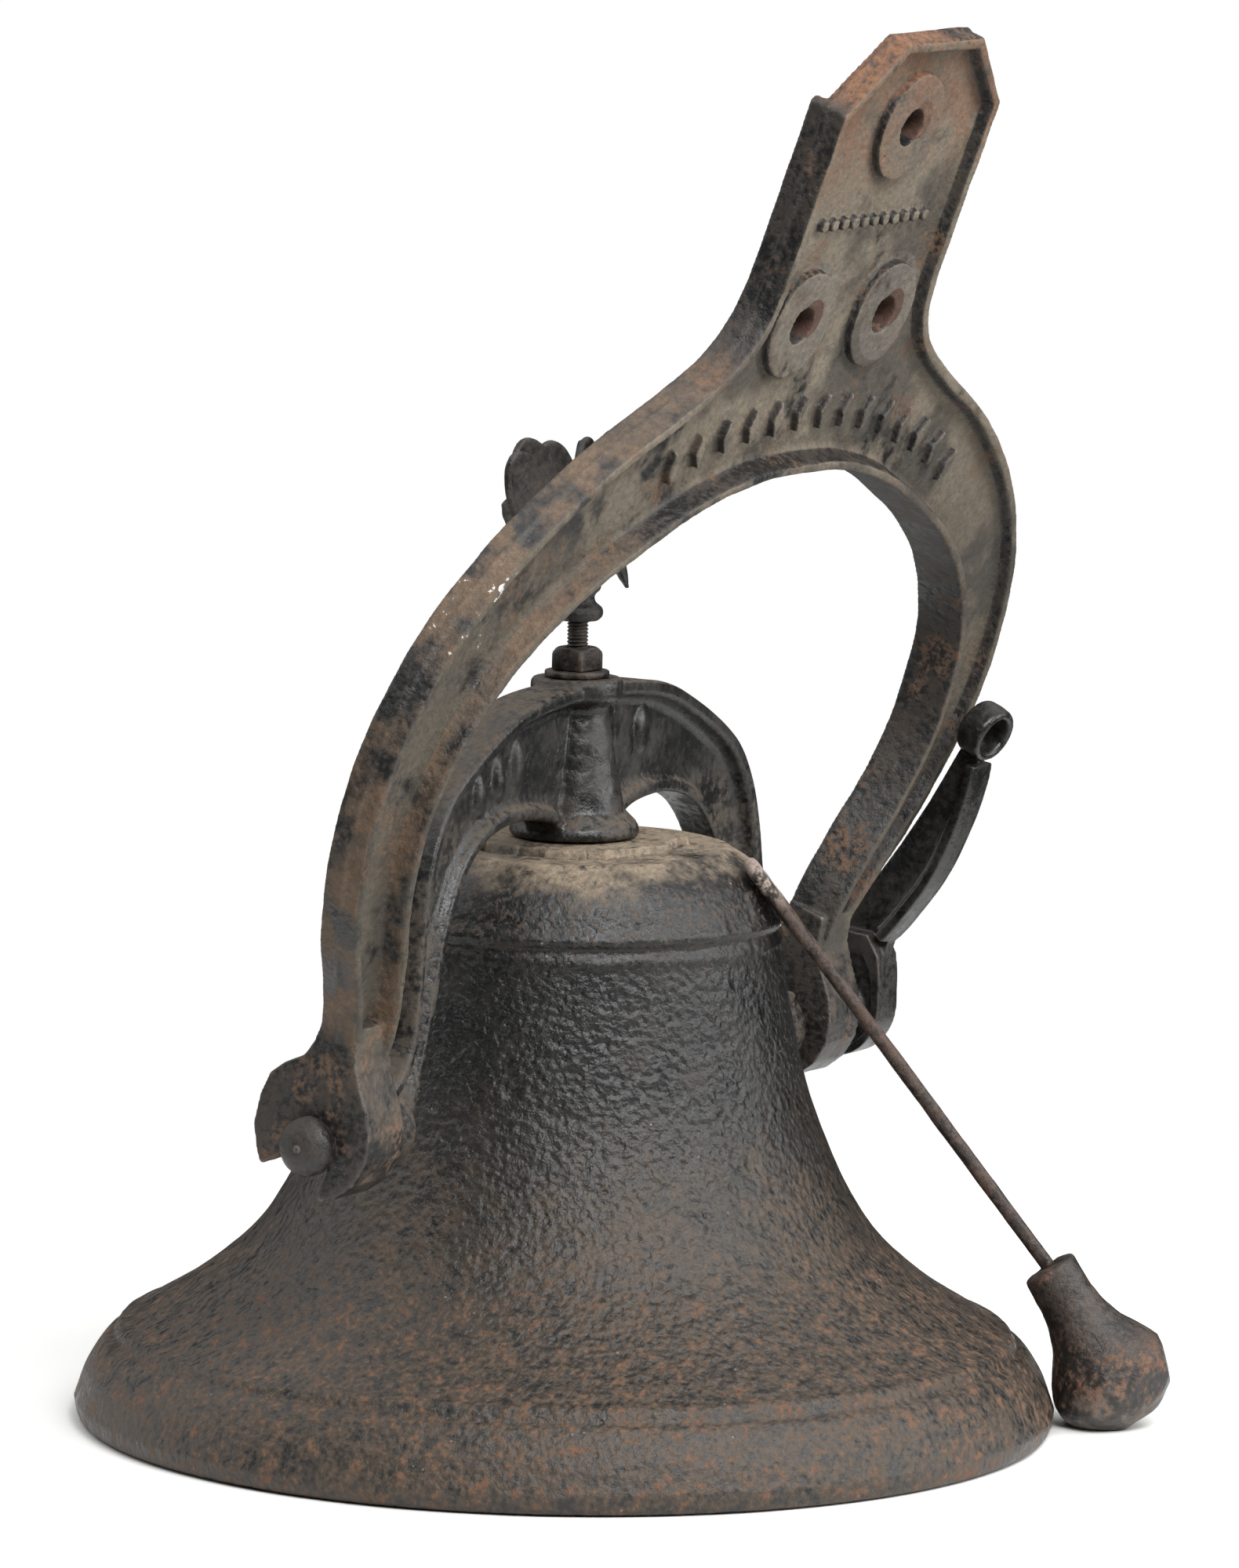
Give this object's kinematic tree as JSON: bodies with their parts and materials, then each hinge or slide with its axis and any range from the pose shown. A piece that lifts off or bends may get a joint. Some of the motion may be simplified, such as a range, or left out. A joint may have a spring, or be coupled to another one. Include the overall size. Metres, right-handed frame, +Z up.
{
  "type": "yard dinner bell",
  "caption": "Cast-iron yard bell standing on its lip, with an arched yoke, a hinged post bracket leaning over it, a rope lever, an eagle finial and its clapper unhooked and leaning on the side.",
  "frame": {"origin": "middle of the whole object's footprint box, on the ground under the bell's lip", "axes": "+Z up; +X along the trunnion axis towards the rope lever; -Y the side that the bracket leans to and the clapper rests on"},
  "size_m": [0.5448, 0.4502, 0.6185],
  "materials": {
    "bell_iron": "old black paint, pitted and glossy, worn to brown rust towards the lip, with dust on the crown",
    "yoke_iron": "satin black paint, dusty in the corners",
    "bracket_iron": "old dark paint under brown-grey dust and rust, rough cast",
    "lever_iron": "satin black paint with worn edges",
    "pin_steel": "dark, dull, rust in the corners",
    "bolt_steel": "rusty brown",
    "finial_iron": "dark grey, worn",
    "rod_steel": "reddish brown rust with worn bright spots",
    "clapper_iron": "dark iron with orange rust and chips"
  },
  "bodies": {
    "bell_and_yoke": {"bell": "bell_iron", "yoke": "yoke_iron", "trunnion_pin_left": "pin_steel", "trunnion_pin_right": "pin_steel", "rope_lever": "lever_iron", "lever_washer": "bolt_steel", "lever_nut": "bolt_steel", "eye_bolt": "bolt_steel", "inner_washer": "bolt_steel", "top_washer": "bolt_steel", "top_nut": "bolt_steel", "finial": "finial_iron"},
    "bracket": {"bracket": "bracket_iron"},
    "clapper": {"clapper_rod": "rod_steel", "clapper_head": "clapper_iron"}
  },
  "joints": [
    {"name": "bracket_hinge", "type": "hinge", "parent": "bell_and_yoke", "child": "bracket", "pos_m": [-0.00563, 0.00905, 0.152], "axis": [-1, 0, 0], "range_deg": [0, 125]},
    {"name": "clapper_lift", "type": "slide", "parent": "bell_and_yoke", "child": "clapper", "axis": [0, 0, 1], "range_m": [0, 0.15]}
  ]
}
